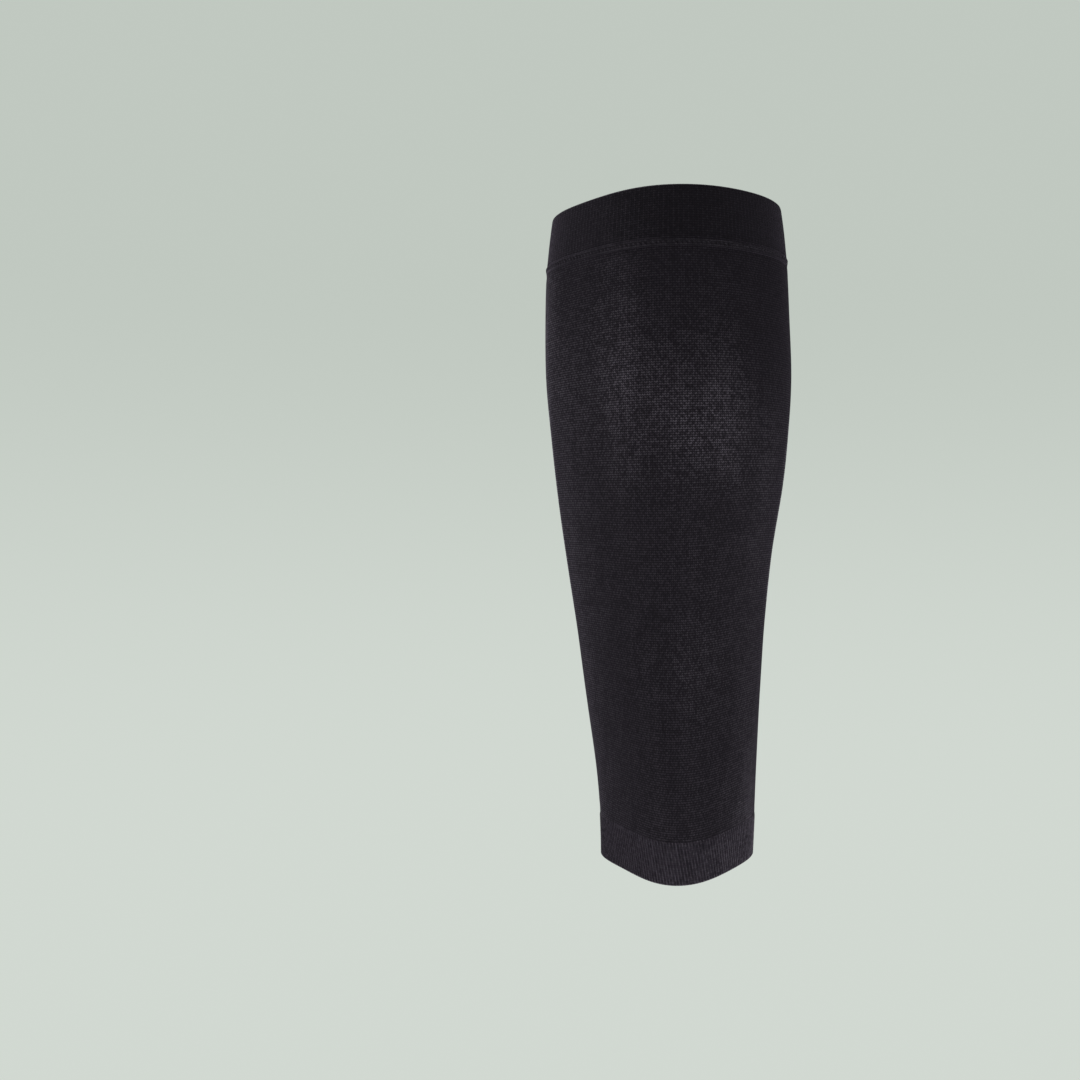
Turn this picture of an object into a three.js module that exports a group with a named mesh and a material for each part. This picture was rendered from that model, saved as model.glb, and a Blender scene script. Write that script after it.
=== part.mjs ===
// Footless calf compression sleeve, in the shape that it takes on a leg. It is a thin knitted tube with a
// doubled band at the knee end, a raised linking seam under that band and a ribbed cuff at the ankle end.
// Millimetres, +Z up the leg, +X to the right and the back of the calf towards -Y.
// The origin is the middle of the leg at the calf's widest girth.

import * as THREE from "three";
import { LoftGeometry } from "three/addons/geometries/LoftGeometry.js";

const { lerp } = THREE.MathUtils;

// Driving sizes
const TUBE_WALL = 1.2; // one layer of the tube's knit
const BAND_WALL = 2 * TUBE_WALL; // the band is turned over, so it has two layers
const CUFF_WALL = 1.6; // rib knit is thicker than the tube
const SEAM_HEIGHT = 4.0;
const SEAM_PROUD = 0.8; // how far the seam stands out of the knit around it
const RIB_COUNT = 160; // two needles to each rib on a 320-needle tube
const RIB_DEPTH = 0.3;
const JOIN_GAP = 0.3; // clear height between two pieces where they meet
const RING_SIDES = 72; // corners round a plain ring

// How closely the faceted surfaces follow the curves
const TUBE_STEPS = 13;
const BAND_STEPS = 2;
const CUFF_STEPS = 2;
const FOLD_STEPS = 5;
const BEAD_STEPS = 6;

// The outside of the sleeve, as sections across the leg. left, right, calf and shin are the reach of a
// section from the leg's axis, and middle is the Y of its widest points. taper is the share by which the
// shin half is drawn in at 45 degrees, because a shin is narrower than an ellipse. The calf half is drawn
// in by the same share all the way up, more on its left.
const CALF_TAPER_LEFT = 0.08;
const CALF_TAPER_RIGHT = 0.05;
const SECTION_COLUMNS = ["left", "right", "calf", "shin", "middle", "taper"];
const LEG_SECTIONS = [
  { height: -246, left: 31.6, right: 39.3, calf: 42.6, shin: 33.2, middle: -4.2, taper: 0.05 },
  { height: -222, left: 32.0, right: 40.5, calf: 43.8, shin: 33.3, middle: -4.2, taper: 0.05 },
  { height: -200, left: 33.4, right: 41.3, calf: 45.2, shin: 33.9, middle: -4.2, taper: 0.05 },
  { height: -164, left: 38.3, right: 43.2, calf: 47.0, shin: 38.0, middle: -4.0, taper: 0.05 },
  { height: -128, left: 43.3, right: 45.4, calf: 48.4, shin: 45.0, middle: -3.6, taper: 0.05 },
  { height: -92, left: 48.7, right: 49.2, calf: 52.8, shin: 51.3, middle: -3.6, taper: 0.04 },
  { height: -60, left: 53.1, right: 54.4, calf: 58.5, shin: 55.0, middle: -3.8, taper: 0.04 },
  { height: -32, left: 56.1, right: 57.2, calf: 61.4, shin: 57.6, middle: -4.0, taper: 0.03 },
  { height: -8, left: 58.0, right: 58.2, calf: 62.3, shin: 58.8, middle: -4.0, taper: 0.03 },
  { height: 16, left: 58.2, right: 57.5, calf: 62.0, shin: 59.0, middle: -3.8, taper: 0.03 },
  { height: 40, left: 57.6, right: 56.5, calf: 60.7, shin: 58.0, middle: -3.4, taper: 0.03 },
  { height: 60, left: 55.6, right: 54.8, calf: 59.0, shin: 56.7, middle: -3.0, taper: 0.03 },
  { height: 84, left: 51.9, right: 51.2, calf: 56.3, shin: 55.2, middle: -3.0, taper: 0.03 },
];

// The edges of the pieces. An edge runs round the leg at its level, rises towards the right, and dips by
// heel_dip at the heel tendon.
const EDGES = {
  top_rim: { level: 67.6, right_rise: 2.7, heel_dip: 0 },
  seam: { level: 42.1, right_rise: 2.1, heel_dip: 0 },
  cuff_top: { level: -215.1, right_rise: 0.1, heel_dip: 5.6 },
  hem: { level: -234.6, right_rise: 0.1, heel_dip: 5.6 },
};
const HEEL_DIP_POWER = 6; // the higher, the narrower the dip

const sectionCurve = new THREE.CubicInterpolant(
  LEG_SECTIONS.map((row) => row.height),
  LEG_SECTIONS.flatMap((row) => SECTION_COLUMNS.map((column) => row[column])),
  SECTION_COLUMNS.length,
);

// A point of the knit at a height and an angle round the leg, drawn in by inset from the outside.
// Angle 0 is the right side, and a quarter turn on is the shin.
function legPoint(height, angle, inset) {
  const [left, right, calf, shin, middle, shinTaper] = sectionCurve.evaluate(height);
  const across = Math.cos(angle);
  const along = Math.sin(angle);
  const calfTaper = across < 0 ? CALF_TAPER_LEFT : CALF_TAPER_RIGHT;
  const taper = along < 0 ? calfTaper : shinTaper;
  const drawnIn = 1 - taper * Math.sin(2 * angle) ** 2;
  const halfWidth = (left + right) / 2 - inset;
  const depth = (along < 0 ? calf + middle : shin - middle) - inset;
  return new THREE.Vector3(
    (right - left) / 2 + halfWidth * across * drawnIn,
    middle + depth * along * drawnIn,
    height,
  );
}

// The height of an edge at an angle round the leg.
function edgeHeight(edge, angle) {
  const dip = edge.heel_dip * ((1 - Math.sin(angle)) / 2) ** HEEL_DIP_POWER;
  return edge.level + edge.right_rise * Math.cos(angle) - dip;
}

// A closed ring of knit. Its profile is a list of points that runs up the outside and down the inside, each
// with its height at an angle and its inset from the outside of the sleeve.
function knitRing(profile, sides) {
  const loops = profile.map(({ heightAt, insetAt }) =>
    Array.from({ length: sides }, (_, corner) => {
      const angle = (corner / sides) * 2 * Math.PI;
      return legPoint(heightAt(angle), angle, insetAt(corner));
    }),
  );
  return new LoftGeometry([...loops, loops[0]]);
}

// One profile point at a share of the way from the lower edge to the upper one, raised by rise.
function profilePoint(lower, upper, share, rise, inset) {
  return {
    heightAt: (angle) => lerp(edgeHeight(lower, angle), edgeHeight(upper, angle), share) + rise,
    insetAt: typeof inset === "function" ? inset : () => inset,
  };
}

// Profile points evenly up one face, from lowRise above the lower edge to highRise above the upper one.
function facePoints(lower, upper, steps, lowRise, highRise, inset) {
  return Array.from({ length: steps + 1 }, (_, step) => {
    const share = step / steps;
    return profilePoint(lower, upper, share, lerp(lowRise, highRise, share), inset);
  });
}

// The band is turned over at the knee, so its top is a round fold and its lower edge ends on the seam.
function topBand() {
  const { seam, top_rim: rim } = EDGES;
  const foldRadius = BAND_WALL / 2;
  const lowRise = SEAM_HEIGHT / 2 + JOIN_GAP;
  const outside = facePoints(seam, rim, BAND_STEPS, lowRise, -foldRadius, 0);
  const inside = facePoints(seam, rim, BAND_STEPS, lowRise, -foldRadius, BAND_WALL).reverse();
  const fold = Array.from({ length: FOLD_STEPS - 1 }, (_, step) => {
    const turn = ((step + 1) / FOLD_STEPS) * Math.PI;
    const rise = foldRadius * (Math.sin(turn) - 1);
    return profilePoint(seam, rim, 1, rise, foldRadius * (1 - Math.cos(turn)));
  });
  return knitRing([...outside, ...fold, ...inside], RING_SIDES);
}

// The seam links the band's two layers to the tube, and the yarn stands out as a rounded bead.
function linkingSeam() {
  const { seam } = EDGES;
  const bead = Array.from({ length: BEAD_STEPS + 1 }, (_, step) => {
    const share = step / BEAD_STEPS;
    const proud = SEAM_PROUD * Math.sin(share * Math.PI);
    return profilePoint(seam, seam, 0, SEAM_HEIGHT * (share - 0.5), -proud);
  });
  const inside = [0.5, -0.5].map((share) => profilePoint(seam, seam, 0, SEAM_HEIGHT * share, BAND_WALL));
  return knitRing([...bead, ...inside], RING_SIDES);
}

// The tube is one layer of knit from the seam down to the cuff.
function calfTube() {
  const { seam, cuff_top: cuffTop } = EDGES;
  const lowRise = JOIN_GAP / 2;
  const highRise = -(SEAM_HEIGHT / 2 + JOIN_GAP);
  const outside = facePoints(cuffTop, seam, TUBE_STEPS, lowRise, highRise, 0);
  const inside = facePoints(cuffTop, seam, TUBE_STEPS, lowRise, highRise, TUBE_WALL).reverse();
  return knitRing([...outside, ...inside], RING_SIDES);
}

// The cuff is ribbed outside: every second corner round it lies in a groove.
function ankleCuff() {
  const { cuff_top: cuffTop, hem } = EDGES;
  const ribbed = (corner) => (corner % 2 ? RIB_DEPTH : 0);
  const highRise = -JOIN_GAP / 2;
  const outside = facePoints(hem, cuffTop, CUFF_STEPS, 0, highRise, ribbed);
  const inside = facePoints(hem, cuffTop, CUFF_STEPS, 0, highRise, CUFF_WALL).reverse();
  return knitRing([...outside, ...inside], 2 * RIB_COUNT);
}

// Black polyamide and elastane yarn, a little greyer where it is worked in ribs or gathered in the seam.
const knit = (color, roughness) => new THREE.MeshStandardMaterial({ color, roughness, metalness: 0 });
const PIECES = [
  { name: "top_band", geometry: topBand(), material: knit(0x201e21, 0.88) },
  { name: "linking_seam", geometry: linkingSeam(), material: knit(0x2b292c, 0.92) },
  { name: "calf_tube", geometry: calfTube(), material: knit(0x232124, 0.82) },
  { name: "ankle_cuff", geometry: ankleCuff(), material: knit(0x262427, 0.9) },
];

const sleeve = new THREE.Group();
sleeve.name = "calf_sleeve";
for (const { name, geometry, material } of PIECES) {
  const mesh = new THREE.Mesh(geometry, material);
  mesh.name = name;
  sleeve.add(mesh);
}

export default sleeve;
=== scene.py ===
import math
import bpy
import numpy as np
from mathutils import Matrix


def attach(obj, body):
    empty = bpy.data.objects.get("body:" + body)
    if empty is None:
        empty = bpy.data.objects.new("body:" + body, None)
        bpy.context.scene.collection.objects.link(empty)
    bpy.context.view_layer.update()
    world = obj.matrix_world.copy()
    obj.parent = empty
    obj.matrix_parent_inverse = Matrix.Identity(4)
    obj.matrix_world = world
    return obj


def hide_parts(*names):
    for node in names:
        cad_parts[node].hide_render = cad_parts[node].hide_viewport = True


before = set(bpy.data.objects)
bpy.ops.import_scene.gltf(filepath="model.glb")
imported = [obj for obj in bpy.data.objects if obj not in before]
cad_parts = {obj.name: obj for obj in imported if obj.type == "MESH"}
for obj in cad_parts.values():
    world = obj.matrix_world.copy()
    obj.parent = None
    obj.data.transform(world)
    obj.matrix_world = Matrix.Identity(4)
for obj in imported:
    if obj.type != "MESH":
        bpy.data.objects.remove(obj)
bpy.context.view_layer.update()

# Top band
# The knee end of the sleeve is knitted twice as long as it shows and turned over to the inside, so it is
# two layers thick with a round fold at the rim. It is a fine rib of black polyamide over elastane.

MM = 0.001  # sizes of the knit are in millimetres, and a mesh is made in metres

WALES = 320  # columns of loops round the sleeve, one for each needle
RIBS = WALES // 2
COURSE_HEIGHT = 1.05  # of one row of loops, as worn
TUBE_WALL = 1.2
BAND_WALL = 2 * TUBE_WALL
SEAM_HEIGHT = 4.0
MEETING_GAP = 0.05  # clear height between two pieces that are linked or knitted on

# The outside of the sleeve on a leg, as sections across it. left, right, calf and shin are the reach from
# the leg's axis, and middle is where the widest points lie. taper is how far the shin half is drawn in at
# 45 degrees. The calf half is drawn in by the same share all the way up, more on its left.
LEG_SECTIONS = np.array([
    # height, left, right, calf, shin, middle, taper
    (-246, 31.6, 39.3, 42.6, 33.2, -4.2, 0.05),
    (-222, 32.0, 40.5, 43.8, 33.3, -4.2, 0.05),
    (-200, 33.4, 41.3, 45.2, 33.9, -4.2, 0.05),
    (-164, 38.3, 43.2, 47.0, 38.0, -4.0, 0.05),
    (-128, 43.3, 45.4, 48.4, 45.0, -3.6, 0.05),
    (-92, 48.7, 49.2, 52.8, 51.3, -3.6, 0.04),
    (-60, 53.1, 54.4, 58.5, 55.0, -3.8, 0.04),
    (-32, 56.1, 57.2, 61.4, 57.6, -4.0, 0.03),
    (-8, 58.0, 58.2, 62.3, 58.8, -4.0, 0.03),
    (16, 58.2, 57.5, 62.0, 59.0, -3.8, 0.03),
    (40, 57.6, 56.5, 60.7, 58.0, -3.4, 0.03),
    (60, 55.6, 54.8, 59.0, 56.7, -3.0, 0.03),
    (84, 51.9, 51.2, 56.3, 55.2, -3.0, 0.03),
])
CALF_TAPER_LEFT = 0.08
CALF_TAPER_RIGHT = 0.05

# An edge runs round the leg at its level, rises towards the right and dips at the heel tendon.
TOP_RIM = {"level": 67.6, "right_rise": 2.7, "heel_dip": 0.0}
SEAM_LINE = {"level": 42.1, "right_rise": 2.1, "heel_dip": 0.0}
HEEL_DIP_POWER = 6  # the higher, the narrower the dip


def leg_section(height):
    """The six columns of LEG_SECTIONS at any height, on a smooth curve through them."""
    levels = LEG_SECTIONS[:, 0]
    columns = LEG_SECTIONS[:, 1:]
    chords = np.diff(columns, axis=0) / np.diff(levels)[:, None]
    slopes = np.vstack([chords[:1], (chords[:-1] + chords[1:]) / 2, chords[-1:]])
    span = np.clip(np.searchsorted(levels, height) - 1, 0, len(levels) - 2)
    rise = (levels[span + 1] - levels[span])[..., None]
    t = (height - levels[span])[..., None] / rise
    start = columns[span] * (1 + 2 * t) * (1 - t) ** 2 + slopes[span] * rise * t * (1 - t) ** 2
    end = columns[span + 1] * t**2 * (3 - 2 * t) + slopes[span + 1] * rise * t**2 * (t - 1)
    return np.moveaxis(start + end, -1, 0)


def leg_points(height, angle, inset):
    """Points of the knit, drawn in by inset. Angle 0 is the right side, and a quarter turn is the shin."""
    left, right, calf, shin, middle, shin_taper = leg_section(height)
    across = np.cos(angle)
    along = np.sin(angle)
    calf_taper = np.where(across < 0, CALF_TAPER_LEFT, CALF_TAPER_RIGHT)
    drawn_in = 1 - np.where(along < 0, calf_taper, shin_taper) * np.sin(2 * angle) ** 2
    half_width = (left + right) / 2 - inset
    depth = np.where(along < 0, calf + middle, shin - middle) - inset
    x = (right - left) / 2 + half_width * across * drawn_in
    y = middle + depth * along * drawn_in
    return np.stack([x, y, height], axis=-1)


def edge_height(edge, angle):
    """The height of an edge at an angle round the leg."""
    dip = edge["heel_dip"] * ((1 - np.sin(angle)) / 2) ** HEEL_DIP_POWER
    return edge["level"] + edge["right_rise"] * np.cos(angle) - dip


def around(columns):
    """Angles evenly round the leg."""
    return np.arange(columns) * 2 * math.pi / columns


def hump(distance, reach):
    """1 at no distance, falling smoothly to nearly 0 at twice the reach."""
    return np.exp(-((distance / reach) ** 2))


# A row of a mesh has three numbers: its share of the way from its piece's lower edge to the upper one,
# its rise above the place that the share gives, and its inset from the outside of the sleeve.
LOWER_EDGE = 0.0
UPPER_EDGE = 1.0


def face_rows(count, low_rise, high_rise, inset):
    """Rows evenly up a face, from low_rise above the lower edge to high_rise above the upper one."""
    share = np.linspace(LOWER_EDGE, UPPER_EDGE, count)
    return np.stack([share, low_rise + (high_rise - low_rise) * share, np.full(count, inset)], axis=-1)


def edge_rows(share, rises):
    """Rows on the outside close to one edge."""
    return np.stack([np.full(len(rises), share), rises, np.zeros(len(rises))], axis=-1)


def fold_rows(count, share, radius, from_turn, to_turn, side):
    """Rows round a fold. Turn 0 is outside and 1 is inside, and side is 1 at the top and -1 below."""
    turn = np.linspace(from_turn, to_turn, count + 2)[1:-1] * math.pi
    rise = side * radius * (np.sin(turn) - 1)
    return np.stack([np.full(count, share), rise, radius * (1 - np.cos(turn))], axis=-1)


def knit_courses(lower, upper, rows, angle):
    """The height of every point of a ring, and how many courses lie before each row of its mesh."""
    share, rise, inset = rows.T[:, :, None]
    height = edge_height(lower, angle) * (1 - share) + edge_height(upper, angle) * share + rise
    points = leg_points(height, np.broadcast_to(angle, height.shape), inset)
    closed = np.concatenate([points, points[:1]])
    length = np.linalg.norm(np.diff(closed, axis=0), axis=2).mean(axis=1)
    return height, np.concatenate([[0], np.cumsum(length)]) / COURSE_HEIGHT


LEG_LEAN = 0.9  # how far the two legs of a loop lean apart, in courses to a wale
LEG_SPREAD = 4.3  # a leg is round across its wale, as a sine with so many radians to a wale
LEG_START = 0.85  # and so many in the middle of the wale
LOOP_NECK = 0.3  # how high a loop still is where the next one is drawn through it


def loop_relief(lower, upper, rows, angle, inside, depth):
    """The relief of the loops outside a ring, from 0 on top of the yarn to -depth between loops."""
    course = knit_courses(lower, upper, rows, angle)[1][:-1, None]
    column_count = angle.shape[-1]
    wale = np.arange(column_count) * WALES / column_count
    from_middle = np.abs(wale % 1 - 0.5)
    along_leg = 0.5 + 0.5 * np.cos(2 * math.pi * (course + LEG_LEAN * from_middle))
    across_leg = np.sin(LEG_SPREAD * from_middle + LEG_START)
    loop_height = across_leg * (LOOP_NECK + (1 - LOOP_NECK) * along_leg)
    return np.where(inside[:, None], 0.0, depth * (loop_height - 1))


BAKED_INSIDE = 0.15  # how much of a baked picture the inside gets, against the same height of the outside
BAKED_MARGIN = 0.002  # clear share along each edge of a baked picture


def knit_object(name, lower, upper, rows, angle, relief, inside, materials):
    """A closed ring of knit. Rows run up the outside and down the inside, and relief stands out of it."""
    height, course = knit_courses(lower, upper, rows, angle)
    points = leg_points(height, np.broadcast_to(angle, height.shape), rows[:, 2:] - relief)
    row_count, column_count = height.shape
    number = np.arange(row_count * column_count).reshape(row_count, column_count)
    above = np.roll(number, -1, axis=0)
    corners = [number, np.roll(number, -1, axis=1), np.roll(above, -1, axis=1), above]
    mesh = bpy.data.meshes.new(name)
    faces = np.stack(corners, axis=-1).reshape(-1, 4)
    mesh.from_pydata((points * MM).reshape(-1, 3), [], faces.tolist(), False)

    # Where each corner lies in the knit, as its column and row of loops, and in a baked picture.
    weight = np.where(inside, BAKED_INSIDE, 1.0) * np.diff(course)
    strip = np.concatenate([[0], np.cumsum(weight)]) / weight.sum()
    baked_share = 1 - 2 * BAKED_MARGIN
    row, column = np.divmod(np.arange(row_count * column_count), column_count)
    knit = np.zeros((row_count * column_count, 4, 3))
    bake = np.empty((row_count * column_count, 4, 2))
    for corner, (row_step, column_step) in enumerate([(0, 0), (0, 1), (1, 1), (1, 0)]):
        knit[:, corner, 0] = (column + column_step) * WALES / column_count
        knit[:, corner, 1] = course[row + row_step]
        bake[:, corner, 0] = BAKED_MARGIN + baked_share * (column + column_step) / column_count
        bake[:, corner, 1] = BAKED_MARGIN + baked_share * strip[row + row_step]
    attribute = mesh.attributes.new("knit", "FLOAT_VECTOR", "CORNER")
    attribute.data.foreach_set("vector", knit.astype(np.float32).ravel())
    bake_map = mesh.uv_layers.new(name="OFBake")
    bake_map.data.foreach_set("uv", bake.astype(np.float32).ravel())
    mesh.polygons.foreach_set("use_smooth", np.ones(len(faces), bool))
    mesh.polygons.foreach_set("material_index", inside[row].astype(np.int32))
    for material in materials:
        mesh.materials.append(material)
    mesh.update()
    piece = bpy.data.objects.new(name, mesh)
    bpy.context.scene.collection.objects.link(piece)
    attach(piece, "root")
    return piece


def add_node(tree, kind, inputs, **settings):
    """A node with its settings, and each input linked to a socket or set to a value."""
    node = tree.nodes.new(kind)
    for setting, value in settings.items():
        setattr(node, setting, value)
    for name, value in inputs.items():
        if isinstance(value, bpy.types.NodeSocket):
            tree.links.new(value, node.inputs[name])
        else:
            node.inputs[name].default_value = value
    return node


def reckon(tree, operation, *values):
    """A Math node's result."""
    node = add_node(tree, "ShaderNodeMath", dict(enumerate(values)), operation=operation)
    return node.outputs[0]


def new_group(name, inputs, outputs):
    """A shader node group with named sockets, the sockets of its input node, and its output node."""
    group = bpy.data.node_groups.new(name, "ShaderNodeTree")
    for socket, kind in inputs.items():
        group.interface.new_socket(socket, in_out="INPUT", socket_type=kind)
    for socket, kind in outputs.items():
        group.interface.new_socket(socket, in_out="OUTPUT", socket_type=kind)
    given = group.nodes.new("NodeGroupInput")
    result = group.nodes.new("NodeGroupOutput")
    return group, given.outputs, result


# Every loop is a V whose two legs lean apart, by Lean, with a dip to the next row, by Rows. The elastic
# yarn inlaid in every third row holds down every second loop, by Stagger, and no two loops stand alike, by
# Unequal. In a rib every second column lies back, by Rib. Yarn is 1 on top of the yarn and 0 in the gap
# between loops, and Height is the round of the legs, which spread a highlight sideways.
INLAY_ROWS = 3
LEG_DIP = 0.1  # how far Height dips along a leg
loops, given, result = new_group(
    "Knit loops",
    {
        "Knit": "NodeSocketVector",
        "Lean": "NodeSocketFloat",
        "Rows": "NodeSocketFloat",
        "Stagger": "NodeSocketFloat",
        "Rib": "NodeSocketFloat",
        "Unequal": "NodeSocketFloat",
    },
    {"Yarn": "NodeSocketFloat", "Height": "NodeSocketFloat"},
)
knit_parts = add_node(loops, "ShaderNodeSeparateXYZ", {"Vector": given["Knit"]}).outputs
wale = knit_parts["X"]
course = knit_parts["Y"]
from_middle = reckon(loops, "ABSOLUTE", reckon(loops, "SUBTRACT", reckon(loops, "FRACT", wale), 0.5))
leg_phase = reckon(loops, "MULTIPLY_ADD", from_middle, given["Lean"], course)
leg_wave = reckon(loops, "COSINE", reckon(loops, "MULTIPLY", leg_phase, 2 * math.pi))
between_rows = reckon(loops, "MULTIPLY_ADD", leg_wave, -0.5, 0.5)
leg_height = reckon(loops, "SUBTRACT", 1.0, reckon(loops, "MULTIPLY", between_rows, given["Rows"]))
across_leg = reckon(loops, "SINE", reckon(loops, "MULTIPLY_ADD", from_middle, LEG_SPREAD, LEG_START))
loop_height = reckon(loops, "MULTIPLY", across_leg, leg_height)
odd_wale = reckon(loops, "COSINE", reckon(loops, "MULTIPLY", wale, math.pi))
inlaid = reckon(loops, "COSINE", reckon(loops, "MULTIPLY", course, 2 * math.pi / INLAY_ROWS))
held_down = reckon(loops, "MULTIPLY_ADD", reckon(loops, "MULTIPLY", odd_wale, inlaid), 0.5, 0.5)
lift = reckon(loops, "MULTIPLY_ADD", given["Stagger"], reckon(loops, "SUBTRACT", held_down, 1.0), 1.0)
leg_course = reckon(loops, "FLOOR", reckon(loops, "ADD", leg_phase, 0.5))
loop_number = add_node(
    loops, "ShaderNodeCombineXYZ", {"X": reckon(loops, "FLOOR", wale), "Y": leg_course}
)
chance = add_node(
    loops, "ShaderNodeTexWhiteNoise", {"Vector": loop_number.outputs[0]}, noise_dimensions="2D"
)
centred = reckon(loops, "MULTIPLY_ADD", chance.outputs["Value"], 2.0, -1.0)
own_height = reckon(loops, "MULTIPLY_ADD", centred, given["Unequal"], 1.0)
rib_round = reckon(loops, "SINE", reckon(loops, "MULTIPLY", wale, math.pi))
lies_back = reckon(loops, "MULTIPLY_ADD", rib_round, -0.5, 0.5)
rib_height = reckon(loops, "SUBTRACT", 1.0, reckon(loops, "MULTIPLY", lies_back, given["Rib"]))
worn_height = reckon(loops, "MULTIPLY", reckon(loops, "MULTIPLY", lift, own_height), rib_height)
yarn = reckon(loops, "MULTIPLY", loop_height, worn_height)
loops.links.new(yarn, result.inputs["Yarn"])
leg_round = reckon(loops, "MULTIPLY_ADD", leg_wave, LEG_DIP, 1 - LEG_DIP)
loops.links.new(reckon(loops, "MULTIPLY", across_leg, leg_round), result.inputs["Height"])

# Yarn takes dye and stretch unevenly, so rows and columns of loops differ a little along their length.
# Each noise has its density to a metre across the sleeve, through it and up it.
ROW_STREAKS = (90.0, 90.0, 900.0)
COLUMN_STREAKS = (700.0, 700.0, 25.0)
PATCHES = (120.0, 120.0, 120.0)
unevenness, given, result = new_group(
    "Uneven yarn",
    {"Place": "NodeSocketVector", "Amount": "NodeSocketFloat"},
    {"Shade": "NodeSocketFloat"},
)
streaks = []
for density in (ROW_STREAKS, COLUMN_STREAKS, PATCHES):
    stretched = add_node(
        unevenness, "ShaderNodeVectorMath", {0: given["Place"], 1: density}, operation="MULTIPLY"
    )
    streak = add_node(
        unevenness, "ShaderNodeTexNoise", {"Vector": stretched.outputs[0], "Scale": 1.0, "Detail": 1.0}
    )
    streaks.append(reckon(unevenness, "SUBTRACT", streak.outputs["Fac"], 0.5))
streak_sum = reckon(unevenness, "ADD", reckon(unevenness, "ADD", streaks[0], streaks[1]), streaks[2])
shade = reckon(unevenness, "MULTIPLY_ADD", streak_sum, given["Amount"], 1.0)
unevenness.links.new(shade, result.inputs["Shade"])

UNEQUAL_LOOPS = 0.45
YARN_SPECULAR = 0.3
YARN_ROUGHNESS = 0.65
GAP_ROUGHNESS = 0.9
GLOSS_ROUGHNESS = 0.3
GLOSS_FROM = 0.2  # how high the yarn is where its gloss starts
GLOSS_FULL = 0.85  # and where it is full
FIBRE_ROUGHNESS = 0.45
FIBRE_TINT = (0.95, 0.90, 1.0, 1)


def knit_material(name, yarn_colour, painted_gap_shade, rows, stagger, rib, uneven, relief, shine, sheen):
    """Knitted yarn: matt loops with a bump, a gloss on top of the yarn and a sheen of loose fibres."""
    material = bpy.data.materials.new(name)
    material.use_nodes = True
    tree = material.node_tree
    shader = tree.nodes["Principled BSDF"]
    shader.inputs["Specular IOR Level"].default_value = YARN_SPECULAR
    shader.inputs["Coat Roughness"].default_value = GLOSS_ROUGHNESS
    shader.inputs["Sheen Weight"].default_value = sheen
    shader.inputs["Sheen Roughness"].default_value = FIBRE_ROUGHNESS
    shader.inputs["Sheen Tint"].default_value = FIBRE_TINT
    knit = add_node(tree, "ShaderNodeAttribute", {}, attribute_name="knit")
    place = add_node(tree, "ShaderNodeTexCoord", {})
    loop = add_node(tree, "ShaderNodeGroup", {}, node_tree=loops)
    tree.links.new(knit.outputs["Vector"], loop.inputs["Knit"])
    loop.inputs["Lean"].default_value = LEG_LEAN
    loop.inputs["Rows"].default_value = rows
    loop.inputs["Stagger"].default_value = stagger
    loop.inputs["Rib"].default_value = rib
    loop.inputs["Unequal"].default_value = UNEQUAL_LOOPS
    shade = add_node(tree, "ShaderNodeGroup", {}, node_tree=unevenness)
    tree.links.new(place.outputs["Object"], shade.inputs["Place"])
    shade.inputs["Amount"].default_value = uneven
    lit = reckon(tree, "MULTIPLY", loop.outputs["Yarn"], shade.outputs["Shade"])
    # Painted shade: the base colour runs from a dark shade in the gaps between loops to the yarn's own
    # colour on top, by how high the yarn stands, so lower and held-down loops are painted darker too. The
    # uneven streaks are the yarn's own.
    colour = add_node(
        tree, "ShaderNodeMix", {"Factor": lit, "A": painted_gap_shade, "B": yarn_colour}, data_type="RGBA"
    )
    tree.links.new(colour.outputs["Result"], shader.inputs["Base Color"])
    matt = add_node(
        tree, "ShaderNodeMapRange", {"Value": lit, "To Min": GAP_ROUGHNESS, "To Max": YARN_ROUGHNESS}
    )
    tree.links.new(matt.outputs["Result"], shader.inputs["Roughness"])
    gloss = add_node(
        tree, "ShaderNodeMapRange",
        {"Value": lit, "From Min": GLOSS_FROM, "From Max": GLOSS_FULL, "To Max": shine},
    )
    tree.links.new(gloss.outputs["Result"], shader.inputs["Coat Weight"])
    bump = add_node(
        tree, "ShaderNodeBump", {"Height": loop.outputs["Height"], "Distance": relief * MM}
    )
    tree.links.new(bump.outputs["Normal"], shader.inputs["Normal"])
    return material


def ribs_around(columns):
    """1 on top of a rib and 0 in the groove beside it, for each column of a mesh."""
    return 0.5 + 0.5 * np.sin(around(columns) * RIBS)


BAND_RIB_DEPTH = 0.09
BAND_LOOP_DEPTH = 0.14
BAND_EDGE = 5.0  # the height over which the band swells towards the seam
BAND_SWELL = 0.06
BAND_COLUMNS = WALES * 3
BAND_EDGE_ROWS = 19
BAND_FACE_ROWS = 66
BAND_FOLD_ROWS = 11
BAND_INSIDE_ROWS = 6

fold_radius = BAND_WALL / 2
band_low = SEAM_HEIGHT / 2 + MEETING_GAP
above_seam = np.linspace(0, BAND_EDGE, BAND_EDGE_ROWS, endpoint=False)
band_rows = np.concatenate([
    edge_rows(LOWER_EDGE, band_low + above_seam),
    face_rows(BAND_FACE_ROWS, band_low + BAND_EDGE, -fold_radius, inset=0.0),
    fold_rows(BAND_FOLD_ROWS, UPPER_EDGE, fold_radius, from_turn=0.0, to_turn=1.0, side=1),
    face_rows(BAND_INSIDE_ROWS, band_low, -fold_radius, inset=BAND_WALL)[::-1],
])
band_angle = around(BAND_COLUMNS)
band_fold = BAND_EDGE_ROWS + BAND_FACE_ROWS
fold_end = band_fold + BAND_FOLD_ROWS
band_inside = np.arange(len(band_rows)) >= fold_end

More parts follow.
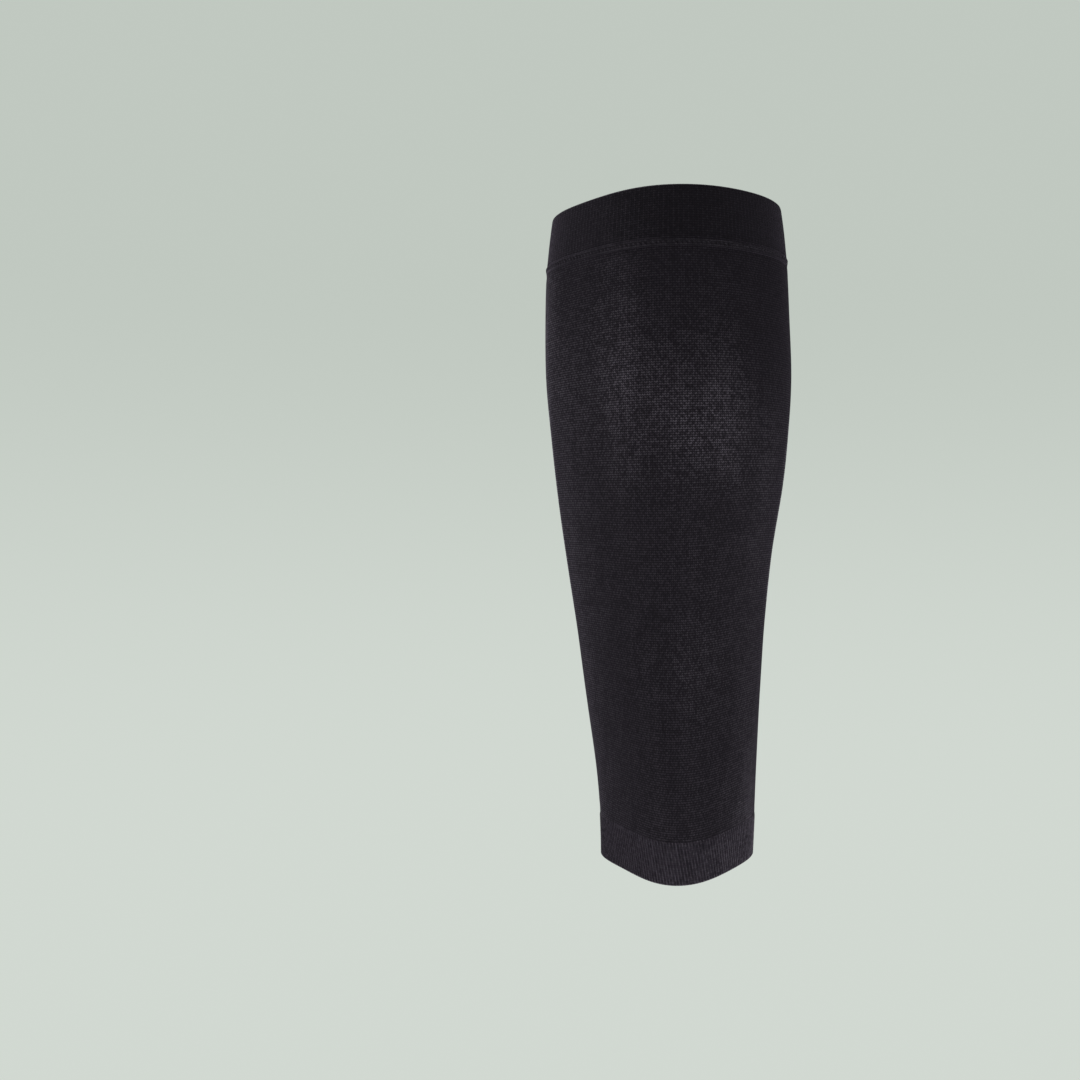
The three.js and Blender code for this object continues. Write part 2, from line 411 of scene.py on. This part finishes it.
# The ribs stand out of both layers, so their relief turns round over the fold.
band_rib_share = np.where(band_inside, -1.0, 1.0)
band_rib_share[band_fold:fold_end] = np.cos(np.linspace(0, math.pi, BAND_FOLD_ROWS))
band_relief = BAND_RIB_DEPTH * band_rib_share[:, None] * (ribs_around(BAND_COLUMNS) - 1)
band_relief[:BAND_EDGE_ROWS] += BAND_SWELL * hump(above_seam, BAND_EDGE / 2)[:, None]
band_relief += loop_relief(SEAM_LINE, TOP_RIM, band_rows, band_angle, band_inside, BAND_LOOP_DEPTH)

# The band's yarn is darker than the leg's: partly the rib's own darker tone, partly painted shade on the
# band, whose face tilts up, away from the soft boxes.
band_knit = knit_material(
    "band knit", yarn_colour=(0.0062, 0.0054, 0.0067, 1), painted_gap_shade=(0.0010, 0.0009, 0.0012, 1),
    rows=0.9, stagger=0.5, rib=0.4, uneven=0.6, relief=0.05, shine=0.7, sheen=0.15,
)
# The lining's yarn is much lighter than the outside's: partly the greyer elastane that shows inside the
# knit, partly painted light, so the inside, where little light falls, does not turn black.
band_lining = knit_material(
    "band lining", yarn_colour=(0.15, 0.135, 0.157, 1), painted_gap_shade=(0.025, 0.022, 0.026, 1),
    rows=0.8, stagger=0.2, rib=0.3, uneven=0.5, relief=0.2, shine=0.2, sheen=0.06,
)
top_band = knit_object(
    "top_band_knit", SEAM_LINE, TOP_RIM, band_rows, band_angle, band_relief, band_inside,
    [band_knit, band_lining],
)
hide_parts("top_band")

# Linking seam
# A row of chain stitches links the two layers of the band to the tube, loop by loop. The gathered yarn
# stands out as a bead between two edges, with a slanted stitch at each rib.

SEAM_PROUD = 0.4
BEAD_POWER = 1.6  # above 1, the bead is fullest above its middle
SEAM_STITCHES = RIBS
STITCH_RELIEF = 0.12
STITCH_UNEVEN = 0.3  # a share of the relief, as for the edges and the holes
STITCH_SLANT = 1.1  # how many stitches a stitch leans over from the bead's lower edge to its upper
HOLE_DEPTH = 0.4
HOLE_UNEVEN = 0.5
HOLE_PLACE = 0.48  # as a share of the bead's height, as are the next four
HOLE_REACH = 0.11
EDGE_PLACES = (0.2, 0.76)
EDGE_REACH = 0.09
EDGE_WANDER = 0.02
EDGE_RELIEFS = (0.03, 0.16)
EDGE_UNEVEN = 0.35
SEAM_COLUMNS = SEAM_STITCHES * 8
BEAD_ROWS = 25

# The seam's flat back, from the bead's upper edge to its lower one: rise and inset, as shares of the seam's
# height and of the band's wall.
SEAM_BACK = [(0.5, 0.5), (0.5, 1.0), (0.0, 1.0), (-0.5, 1.0), (-0.5, 0.5)]

across_bead = np.linspace(0, 1, BEAD_ROWS)[:, None]
seam_rows = np.concatenate([
    edge_rows(LOWER_EDGE, SEAM_HEIGHT * (across_bead[:, 0] - 0.5)),
    [(LOWER_EDGE, SEAM_HEIGHT * rise, BAND_WALL * inset) for rise, inset in SEAM_BACK],
])
seam_angle = around(SEAM_COLUMNS)
seam_inside = np.arange(len(seam_rows)) >= BEAD_ROWS
stitch_number = seam_angle * SEAM_STITCHES / (2 * math.pi)
drawn = np.random.default_rng(4).normal(size=(2, SEAM_STITCHES))
uneven_stitch, uneven_edge = (
    np.interp(stitch_number, np.arange(SEAM_STITCHES), row, period=SEAM_STITCHES) for row in drawn
)
bead = np.sin(math.pi * across_bead**BEAD_POWER)
slanted = 0.5 + 0.5 * np.cos(2 * math.pi * (stitch_number + STITCH_SLANT * across_bead))
stitches = STITCH_RELIEF * (1 + STITCH_UNEVEN * uneven_stitch) * (slanted - 1)
wander = EDGE_WANDER * uneven_stitch
edges = sum(
    relief * (1 + EDGE_UNEVEN * uneven_edge) * hump(across_bead - place - wander, EDGE_REACH)
    for place, relief in zip(EDGE_PLACES, EDGE_RELIEFS)
)
hole_depth = HOLE_DEPTH * (1 + HOLE_UNEVEN * uneven_edge)
holes = hole_depth * hump(across_bead - HOLE_PLACE, HOLE_REACH) * (1 - slanted) ** 2
seam_relief = np.zeros((len(seam_rows), SEAM_COLUMNS))
seam_relief[:BEAD_ROWS] = bead * (SEAM_PROUD + stitches + edges - holes)

# The seam's yarn is as dark as the band's: partly its own tone, partly the same painted shade as the band.
seam_yarn = knit_material(
    "seam yarn", yarn_colour=(0.006, 0.0053, 0.0065, 1), painted_gap_shade=(0.0013, 0.0011, 0.0015, 1),
    rows=0.9, stagger=0.0, rib=0.0, uneven=0.6, relief=0.05, shine=0.35, sheen=0.14,
)
linking_seam = knit_object(
    "linking_seam_yarn", SEAM_LINE, SEAM_LINE, seam_rows, seam_angle, seam_relief, seam_inside,
    [seam_yarn, band_lining],
)
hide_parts("linking_seam")

# Calf tube
# One layer of compression knit from the seam to the ankle cuff, black polyamide with inlaid elastane. It
# is knitted round on one machine, with tighter loops towards the ankle, so it has no seam of its own.

CUFF_TOP = {"level": -215.1, "right_rise": 0.1, "heel_dip": 5.6}
TUBE_LENGTH = 262.0  # from its lowest point to its highest
TUBE_EDGE = 6.0  # the height over which the knit is drawn in at the seam
SEAM_GROOVE = 0.08
GROOVE_REACH = 1.0
SEAM_SWELL = 0.04
SWELL_PLACE = 2.8  # below the seam
SWELL_REACH = 1.4
TUBE_COLUMNS = 480
TUBE_ROWS = 110
TUBE_EDGE_ROWS = 16
TUBE_INSIDE_ROWS = 40

# The knit doesn't lie quite even on the leg but in slow, low waves.
TUBE_WAVES = [
    # height, waves round the leg, waves to a metre of the leg, start in radians
    (0.04, 9, 12.0, 0.4),
    (0.03, -13, 19.0, 2.1),
    (0.02, 21, -27.0, 4.0),
    (0.015, -31, 38.0, 5.2),
]

tube_low = MEETING_GAP / 2
tube_high = -(SEAM_HEIGHT / 2 + MEETING_GAP)
from_edge = np.linspace(0, TUBE_EDGE, TUBE_EDGE_ROWS, endpoint=False)
tube_rows = np.concatenate([
    edge_rows(LOWER_EDGE, tube_low + from_edge),
    face_rows(TUBE_ROWS, tube_low + TUBE_EDGE, tube_high - TUBE_EDGE, inset=0.0),
    edge_rows(UPPER_EDGE, tube_high - from_edge[::-1]),
    face_rows(TUBE_INSIDE_ROWS, tube_low, tube_high, inset=TUBE_WALL)[::-1],
])
tube_angle = around(TUBE_COLUMNS)
tube_outside = 2 * TUBE_EDGE_ROWS + TUBE_ROWS
tube_inside = np.arange(len(tube_rows)) >= tube_outside
tube_up = np.linspace(0, 1, tube_outside)[:, None] * TUBE_LENGTH * MM
tube_relief = np.zeros((len(tube_rows), TUBE_COLUMNS))
for wave_height, turns, per_metre, start in TUBE_WAVES:
    wave = np.sin(turns * tube_angle + 2 * math.pi * per_metre * tube_up + start)
    tube_relief[:tube_outside] += wave_height * wave
groove = -SEAM_GROOVE * hump(from_edge, GROOVE_REACH)
swell = SEAM_SWELL * hump(from_edge - SWELL_PLACE, SWELL_REACH)
tube_relief[tube_outside - TUBE_EDGE_ROWS:tube_outside] += (groove + swell)[::-1, None]

leg_knit = knit_material(
    "leg knit", yarn_colour=(0.013, 0.0115, 0.0139, 1), painted_gap_shade=(0.003, 0.0026, 0.0033, 1),
    rows=0.9, stagger=0.6, rib=0.0, uneven=0.6, relief=0.05, shine=1.0, sheen=0.06,
)
# Lighter yarn inside, as for the band: partly the greyer elastane, partly painted light for the dim inside
# of the tube.
leg_lining = knit_material(
    "leg lining", yarn_colour=(0.15, 0.135, 0.157, 1), painted_gap_shade=(0.020, 0.018, 0.021, 1),
    rows=0.9, stagger=0.4, rib=0.0, uneven=0.6, relief=0.2, shine=0.2, sheen=0.06,
)
calf_tube = knit_object(
    "calf_tube_knit", CUFF_TOP, SEAM_LINE, tube_rows, tube_angle, tube_relief, tube_inside,
    [leg_knit, leg_lining],
)
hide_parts("calf_tube")

# Ankle cuff
# The ankle end is knitted on as a thicker rib, two needles to a rib, and turned in at the hem, which dips
# over the heel tendon. The ribs lean a little, as a round knit does.

HEM = {"level": -234.6, "right_rise": 0.1, "heel_dip": 5.6}
CUFF_WALL = 1.6
CUFF_PROUD = 0.3
CUFF_RIB_DEPTH = 0.35
CUFF_RIB_INSIDE = 0.5  # how deep the ribs are on the inside, as a share
CUFF_LOOP_DEPTH = 0.06
CUFF_EDGE = 1.8  # the height of the cuff's shoulder, where the ribs start below the tube
RIB_LEAN = 0.104  # radians round the leg, from the top of the cuff to the hem
CUFF_COLUMNS = WALES * 3
CUFF_ROWS = 64
CUFF_EDGE_ROWS = 8
CUFF_INSIDE_ROWS = 6
HEM_ROWS = 9

hem_radius = CUFF_WALL / 2
cuff_high = -MEETING_GAP / 2
below_tube = np.linspace(0, CUFF_EDGE, CUFF_EDGE_ROWS, endpoint=False)[::-1]
cuff_rows = np.concatenate([
    face_rows(CUFF_ROWS, hem_radius, cuff_high - CUFF_EDGE, inset=0.0),
    edge_rows(UPPER_EDGE, cuff_high - below_tube),
    face_rows(CUFF_INSIDE_ROWS, hem_radius, cuff_high, inset=CUFF_WALL)[::-1],
    fold_rows(HEM_ROWS, LOWER_EDGE, hem_radius, from_turn=1.0, to_turn=0.0, side=-1),
])
cuff_outside = CUFF_ROWS + CUFF_EDGE_ROWS
hem_start = cuff_outside + CUFF_INSIDE_ROWS
row_number = np.arange(len(cuff_rows))
cuff_inside = (row_number >= cuff_outside) & (row_number < hem_start)
cuff_up = cuff_rows[:, :1] + cuff_rows[:, 1:2] / (CUFF_TOP["level"] - HEM["level"])
cuff_angle = around(CUFF_COLUMNS) + RIB_LEAN * (1 - cuff_up)
cuff_rib_share = np.where(cuff_inside, -CUFF_RIB_INSIDE, 1.0)
cuff_rib_share[hem_start:] = np.linspace(-CUFF_RIB_INSIDE, 1.0, HEM_ROWS)
cuff_relief = CUFF_RIB_DEPTH * cuff_rib_share[:, None] * (ribs_around(CUFF_COLUMNS) - 1)
cuff_relief += loop_relief(HEM, CUFF_TOP, cuff_rows, cuff_angle, cuff_inside, CUFF_LOOP_DEPTH)

# The outside stands proud of the tube from a round shoulder down to the hem.
shoulder = np.ones(len(cuff_rows))
shoulder[CUFF_ROWS:cuff_outside] = np.sqrt(1 - (1 - below_tube / CUFF_EDGE) ** 2)
shoulder[cuff_inside] = 0.0
shoulder[hem_start:] = np.linspace(0.0, 1.0, HEM_ROWS)
cuff_relief = (cuff_relief + CUFF_PROUD) * shoulder[:, None]

rib_knit = knit_material(
    "rib knit", yarn_colour=(0.030, 0.0265, 0.0320, 1), painted_gap_shade=(0.004, 0.0035, 0.0044, 1),
    rows=0.35, stagger=0.1, rib=0.5, uneven=0.5, relief=0.03, shine=0.9, sheen=0.06,
)
# Lighter yarn inside, as for the band: partly the greyer elastane, partly painted light for the dim inside
# of the cuff.
rib_lining = knit_material(
    "rib lining", yarn_colour=(0.12, 0.108, 0.126, 1), painted_gap_shade=(0.018, 0.016, 0.019, 1),
    rows=0.5, stagger=0.1, rib=0.5, uneven=0.5, relief=0.2, shine=0.2, sheen=0.06,
)
ankle_cuff = knit_object(
    "ankle_cuff_knit", HEM, CUFF_TOP, cuff_rows, cuff_angle, cuff_relief, cuff_inside,
    [rib_knit, rib_lining],
)
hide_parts("ankle_cuff")

# Studio
# A plain pale tent, floor, wall and ceiling in one, with soft lights round the sleeve and a dim room
# beyond. The tent takes no light and casts no shadow: it glows with painted light, lighter on the floor
# than on the wall and ceiling, as if lit from above. The camera stands level with the middle of the
# sleeve, straight behind the calf. Sizes are in metres.

SWEEP_RADIUS = 2.6
SWEEP_FLOOR = -0.62
SWEEP_BEND = 1.2  # the radius between floor and wall, and between wall and ceiling
SWEEP_TOP = 3.0  # above the floor
SWEEP_MIDDLE = 0.01  # the radius of the small faces that close floor and ceiling
SWEEP_SIDES = 96
SWEEP_BEND_ROWS = 24
# Painted light: the floor glows lighter than the wall and ceiling, as if the lamps above lit it.
FLOOR_PAINTED_GLOW = (0.64, 0.69, 0.64, 1)
WALL_PAINTED_GLOW = (0.53, 0.58, 0.53, 1)

bend = np.linspace(0, math.pi / 2, SWEEP_BEND_ROWS)
bend_reach = SWEEP_RADIUS - SWEEP_BEND + SWEEP_BEND * np.sin(bend)
bend_height = SWEEP_BEND * (1 - np.cos(bend))
lower_reach = np.concatenate([[SWEEP_MIDDLE], bend_reach])
lower_height = np.concatenate([[0], bend_height])
sweep_reach = np.concatenate([lower_reach, lower_reach[::-1]])[:, None]
sweep_height = np.concatenate([lower_height, SWEEP_TOP - lower_height[::-1]]) + SWEEP_FLOOR
sweep_angle = around(SWEEP_SIDES)
sweep_points = np.stack([
    sweep_reach * np.cos(sweep_angle),
    sweep_reach * np.sin(sweep_angle),
    np.broadcast_to(sweep_height[:, None], (len(sweep_height), SWEEP_SIDES)),
], axis=-1)
number = np.arange(len(sweep_height) * SWEEP_SIDES).reshape(-1, SWEEP_SIDES)
beside = np.roll(number, -1, axis=1)
sweep_corners = [number[:-1], beside[:-1], beside[1:], number[1:]]
sweep_faces = np.stack(sweep_corners, axis=-1).reshape(-1, 4).tolist()
sweep_faces += [number[0, ::-1].tolist(), number[-1].tolist()]
sweep_mesh = bpy.data.meshes.new("sweep")
sweep_mesh.from_pydata(sweep_points.reshape(-1, 3), [], sweep_faces, False)
sweep_material = bpy.data.materials.new("pale sweep")
sweep_material.use_nodes = True
sweep_tree = sweep_material.node_tree
sweep_shader = sweep_tree.nodes["Principled BSDF"]
sweep_shader.inputs["Base Color"].default_value = (0.0, 0.0, 0.0, 1)
sweep_shader.inputs["Roughness"].default_value = 1.0
sweep_shader.inputs["Specular IOR Level"].default_value = 0.0
sweep_shader.inputs["Emission Strength"].default_value = 1.0
sweep_place = add_node(sweep_tree, "ShaderNodeTexCoord", {})
sweep_up = add_node(sweep_tree, "ShaderNodeSeparateXYZ", {"Vector": sweep_place.outputs["Object"]})
up_wall = add_node(
    sweep_tree, "ShaderNodeMapRange",
    {"Value": sweep_up.outputs["Z"], "From Min": SWEEP_FLOOR, "From Max": SWEEP_FLOOR + SWEEP_BEND},
    interpolation_type="SMOOTHSTEP",
)
sweep_shade = add_node(
    sweep_tree, "ShaderNodeMix",
    {"Factor": up_wall.outputs["Result"], "A": FLOOR_PAINTED_GLOW, "B": WALL_PAINTED_GLOW}, data_type="RGBA",
)
sweep_tree.links.new(sweep_shade.outputs["Result"], sweep_shader.inputs["Emission Color"])
sweep_mesh.materials.append(sweep_material)
sweep = bpy.data.objects.new("sweep", sweep_mesh)
sweep.visible_diffuse = False
sweep.visible_glossy = False
sweep.visible_shadow = False
bpy.context.scene.collection.objects.link(sweep)

ROOM_COLOUR = (0.98, 0.97, 1.0, 1)
ROOM_STRENGTH = 0.02

world = bpy.data.worlds.new("dim room")
world.use_nodes = True
background = world.node_tree.nodes["Background"]
background.inputs["Color"].default_value = ROOM_COLOUR
background.inputs["Strength"].default_value = ROOM_STRENGTH
bpy.context.scene.world = world

# Soft boxes stand round the sleeve, most of them about level with it. Two hang high above, so that the
# inside shows from there, and a wide one on the floor lights the sleeve from below.
SOFT_BOXES = [
    # azimuth and elevation in degrees, power in watts
    (-140, 12, 0.3),
    (-115, -10, 0.35),
    (-100, 6, 0.5),
    (-85, 30, 0.2),
    (-60, 8, 1.6),
    (-60, -4, 0.9),
    (-20, 1, 1.4),
    (20, -2, 2.1),
    (60, 0, 2.15),
    (100, -4, 0.5),
    (118, -26, 0.6),
    (180, 0, 1.5),
    (-50, 60, 1.1),
    (-150, 60, 3.0),
]
BOX_DISTANCE = 1.2
BOX_SIZE = (0.87, 0.3)
GLOW_DEPTH = 0.54
GLOW_SIZE = (1.6, 1.6)
GLOW_POWER = 7.7
LIGHT_COLOUR = (0.985, 0.90, 1.06)
LIGHT_AIM = np.array([0.0, 0.0, -0.06])


def soft_light(name, azimuth, elevation, distance, size, power):
    """A soft box that faces the sleeve. Azimuth 0 is straight behind the calf and 90 is to the right."""
    turn = math.radians(azimuth)
    tilt = math.radians(elevation)
    away = np.array([math.sin(turn) * math.cos(tilt), -math.cos(turn) * math.cos(tilt), math.sin(tilt)])
    light = bpy.data.lights.new(name, "AREA")
    light.shape = "RECTANGLE"
    light.size, light.size_y = size
    light.energy = power
    light.color = LIGHT_COLOUR
    box = bpy.data.objects.new(name, light)
    box.location = LIGHT_AIM + distance * away
    box.rotation_euler = (math.pi / 2 - tilt, 0, turn)
    box.visible_camera = False
    bpy.context.scene.collection.objects.link(box)


for azimuth, elevation, power in SOFT_BOXES:
    soft_light(f"soft box at {azimuth}, {elevation}", azimuth, elevation, BOX_DISTANCE, BOX_SIZE, power)
soft_light("floor glow", 0, -90, GLOW_DEPTH, GLOW_SIZE, GLOW_POWER)

CAMERA_LENS = 41.82  # in millimetres, as is the sensor
CAMERA_SENSOR = 36.0
CAMERA_SHIFT = -0.1188  # sets the sleeve right of the middle
CAMERA_PLACE = (0.0, -0.600, -0.0864)

camera_data = bpy.data.cameras.new("camera")
camera_data.lens = CAMERA_LENS
camera_data.sensor_width = CAMERA_SENSOR
camera_data.shift_x = CAMERA_SHIFT
camera = bpy.data.objects.new("camera", camera_data)
camera.location = CAMERA_PLACE
camera.rotation_euler = (math.pi / 2, 0, 0)
bpy.context.scene.collection.objects.link(camera)
bpy.context.scene.camera = camera
bpy.context.scene.view_settings.view_transform = "Standard"
